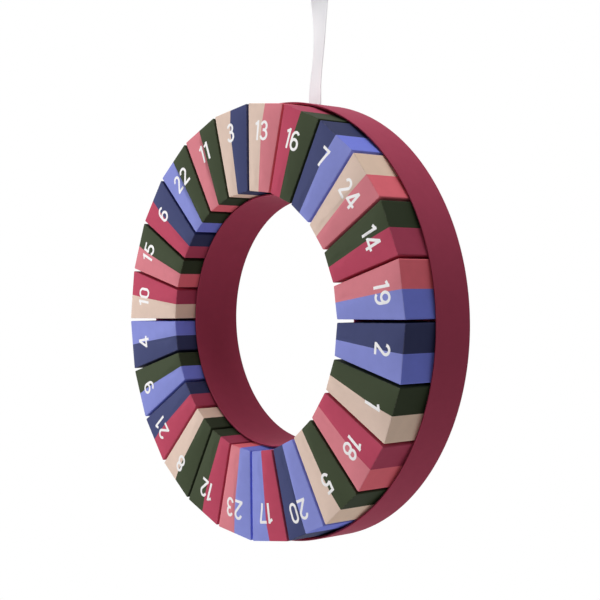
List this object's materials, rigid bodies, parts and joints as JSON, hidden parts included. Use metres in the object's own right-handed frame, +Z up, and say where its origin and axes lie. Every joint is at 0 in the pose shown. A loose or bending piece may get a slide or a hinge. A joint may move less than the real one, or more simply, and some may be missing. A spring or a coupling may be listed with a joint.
{
  "type": "wreath advent calendar",
  "caption": "Hanging ring-shaped advent calendar: a round tray of numbered two-tone wedge boxes whose lids slide off forwards, on a satin ribbon.",
  "frame": {"origin": "inside the crown of the ribbon's loop, where a hook or nail carries the wreath", "axes": "+Z up; the numbered fronts face -Y, the flat rear faces +Y; +X is to the right as seen from the front"},
  "size_m": [0.35, 0.077, 0.5086],
  "materials": {
    "burgundy_board": "matt burgundy paper wrapped over board",
    "raspberry_board": "matt printed paper over board",
    "pink_board": "matt printed paper over board",
    "beige_board": "matt printed paper over board",
    "green_board": "matt printed paper over board",
    "navy_board": "matt printed paper over board",
    "periwinkle_board": "matt printed paper over board",
    "ivory_board": "uncoated ivory card",
    "satin_ribbon": "woven satin, pale lilac white"
  },
  "bodies": {
    "wreath": {"ring_backing_sheet": "burgundy_board", "ring_back_board": "burgundy_board", "ring_outer_wall": "burgundy_board", "ring_inner_wall": "burgundy_board", "box_base_13": "ivory_board", "box_base_16": "ivory_board", "box_base_07": "ivory_board", "box_base_24": "ivory_board", "box_base_14": "ivory_board", "box_base_19": "ivory_board", "box_base_02": "ivory_board", "box_base_01": "ivory_board", "box_base_18": "ivory_board", "box_base_05": "ivory_board", "box_base_20": "ivory_board", "box_base_17": "ivory_board", "box_base_23": "ivory_board", "box_base_12": "ivory_board", "box_base_08": "ivory_board", "box_base_21": "ivory_board", "box_base_09": "ivory_board", "box_base_04": "ivory_board", "box_base_10": "ivory_board", "box_base_15": "ivory_board", "box_base_06": "ivory_board", "box_base_22": "ivory_board", "box_base_11": "ivory_board", "box_base_03": "ivory_board", "hanging_ribbon": "satin_ribbon", "ribbon_knot": "satin_ribbon", "ribbon_loop": "satin_ribbon"},
    "lid_01": {"box_lid_01": "green_board"},
    "lid_02": {"box_lid_02": "navy_board"},
    "lid_03": {"box_lid_03": "beige_board"},
    "lid_04": {"box_lid_04": "navy_board"},
    "lid_05": {"box_lid_05": "green_board"},
    "lid_06": {"box_lid_06": "raspberry_board"},
    "lid_07": {"box_lid_07": "navy_board"},
    "lid_08": {"box_lid_08": "green_board"},
    "lid_09": {"box_lid_09": "periwinkle_board"},
    "lid_10": {"box_lid_10": "beige_board"},
    "lid_11": {"box_lid_11": "pink_board"},
    "lid_12": {"box_lid_12": "raspberry_board"},
    "lid_13": {"box_lid_13": "beige_board"},
    "lid_14": {"box_lid_14": "green_board"},
    "lid_15": {"box_lid_15": "pink_board"},
    "lid_16": {"box_lid_16": "raspberry_board"},
    "lid_17": {"box_lid_17": "raspberry_board"},
    "lid_18": {"box_lid_18": "raspberry_board"},
    "lid_19": {"box_lid_19": "pink_board"},
    "lid_20": {"box_lid_20": "periwinkle_board"},
    "lid_21": {"box_lid_21": "raspberry_board"},
    "lid_22": {"box_lid_22": "periwinkle_board"},
    "lid_23": {"box_lid_23": "periwinkle_board"},
    "lid_24": {"box_lid_24": "beige_board"}
  },
  "joints": [
    {"name": "lid_01_slide", "type": "slide", "parent": "wreath", "child": "lid_01", "axis": [0, -1, 0], "range_m": [0, 0.05]},
    {"name": "lid_02_slide", "type": "slide", "parent": "wreath", "child": "lid_02", "axis": [0, -1, 0], "range_m": [0, 0.05]},
    {"name": "lid_03_slide", "type": "slide", "parent": "wreath", "child": "lid_03", "axis": [0, -1, 0], "range_m": [0, 0.05]},
    {"name": "lid_04_slide", "type": "slide", "parent": "wreath", "child": "lid_04", "axis": [0, -1, 0], "range_m": [0, 0.05]},
    {"name": "lid_05_slide", "type": "slide", "parent": "wreath", "child": "lid_05", "axis": [0, -1, 0], "range_m": [0, 0.05]},
    {"name": "lid_06_slide", "type": "slide", "parent": "wreath", "child": "lid_06", "axis": [0, -1, 0], "range_m": [0, 0.05]},
    {"name": "lid_07_slide", "type": "slide", "parent": "wreath", "child": "lid_07", "axis": [0, -1, 0], "range_m": [0, 0.05]},
    {"name": "lid_08_slide", "type": "slide", "parent": "wreath", "child": "lid_08", "axis": [0, -1, 0], "range_m": [0, 0.05]},
    {"name": "lid_09_slide", "type": "slide", "parent": "wreath", "child": "lid_09", "axis": [0, -1, 0], "range_m": [0, 0.05]},
    {"name": "lid_10_slide", "type": "slide", "parent": "wreath", "child": "lid_10", "axis": [0, -1, 0], "range_m": [0, 0.05]},
    {"name": "lid_11_slide", "type": "slide", "parent": "wreath", "child": "lid_11", "axis": [0, -1, 0], "range_m": [0, 0.05]},
    {"name": "lid_12_slide", "type": "slide", "parent": "wreath", "child": "lid_12", "axis": [0, -1, 0], "range_m": [0, 0.05]},
    {"name": "lid_13_slide", "type": "slide", "parent": "wreath", "child": "lid_13", "axis": [0, -1, 0], "range_m": [0, 0.05]},
    {"name": "lid_14_slide", "type": "slide", "parent": "wreath", "child": "lid_14", "axis": [0, -1, 0], "range_m": [0, 0.05]},
    {"name": "lid_15_slide", "type": "slide", "parent": "wreath", "child": "lid_15", "axis": [0, -1, 0], "range_m": [0, 0.05]},
    {"name": "lid_16_slide", "type": "slide", "parent": "wreath", "child": "lid_16", "axis": [0, -1, 0], "range_m": [0, 0.05]},
    {"name": "lid_17_slide", "type": "slide", "parent": "wreath", "child": "lid_17", "axis": [0, -1, 0], "range_m": [0, 0.05]},
    {"name": "lid_18_slide", "type": "slide", "parent": "wreath", "child": "lid_18", "axis": [0, -1, 0], "range_m": [0, 0.05]},
    {"name": "lid_19_slide", "type": "slide", "parent": "wreath", "child": "lid_19", "axis": [0, -1, 0], "range_m": [0, 0.05]},
    {"name": "lid_20_slide", "type": "slide", "parent": "wreath", "child": "lid_20", "axis": [0, -1, 0], "range_m": [0, 0.05]},
    {"name": "lid_21_slide", "type": "slide", "parent": "wreath", "child": "lid_21", "axis": [0, -1, 0], "range_m": [0, 0.05]},
    {"name": "lid_22_slide", "type": "slide", "parent": "wreath", "child": "lid_22", "axis": [0, -1, 0], "range_m": [0, 0.05]},
    {"name": "lid_23_slide", "type": "slide", "parent": "wreath", "child": "lid_23", "axis": [0, -1, 0], "range_m": [0, 0.05]},
    {"name": "lid_24_slide", "type": "slide", "parent": "wreath", "child": "lid_24", "axis": [0, -1, 0], "range_m": [0, 0.05]}
  ]
}
